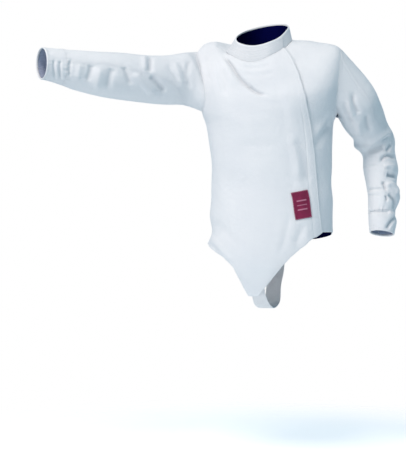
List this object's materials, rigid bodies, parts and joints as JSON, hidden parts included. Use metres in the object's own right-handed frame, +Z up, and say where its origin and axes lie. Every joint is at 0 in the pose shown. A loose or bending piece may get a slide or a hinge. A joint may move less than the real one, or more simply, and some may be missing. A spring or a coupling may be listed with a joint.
{
  "type": "fencing jacket",
  "caption": "White fencing jacket in worn form, one arm outstretched, with stand collar, diagonal front flap closing at the left, pointed front, crotch strap and small label",
  "frame": {"origin": "centre of the neck seam, where the wearer's neck fills the collar", "axes": "+Z up, the front of the jacket faces -Y, +X is the wearer's left"},
  "size_m": [0.8851, 0.5839, 0.7895],
  "materials": {
    "white_cotton": "matt tight twill, white",
    "navy_lining": "matt plain lining, navy",
    "white_webbing": "ribbed elastic webbing, white",
    "zip_tape": "plain closed zip tape, grey white",
    "dark_red_label": "woven label with a pink stitched border, dark red"
  },
  "bodies": {
    "root": {"front_right": "white_cotton", "front_left": "white_cotton", "back": "white_cotton", "collar": "white_cotton", "sleeve_right_top": "white_cotton", "sleeve_right_under": "white_cotton", "sleeve_left_top": "white_cotton", "sleeve_left_under": "white_cotton", "cuff_right": "white_cotton", "cuff_left": "white_cotton", "collar_lining": "navy_lining", "crotch_strap": "white_webbing", "zip": "zip_tape", "label": "dark_red_label"}
  },
  "joints": []
}
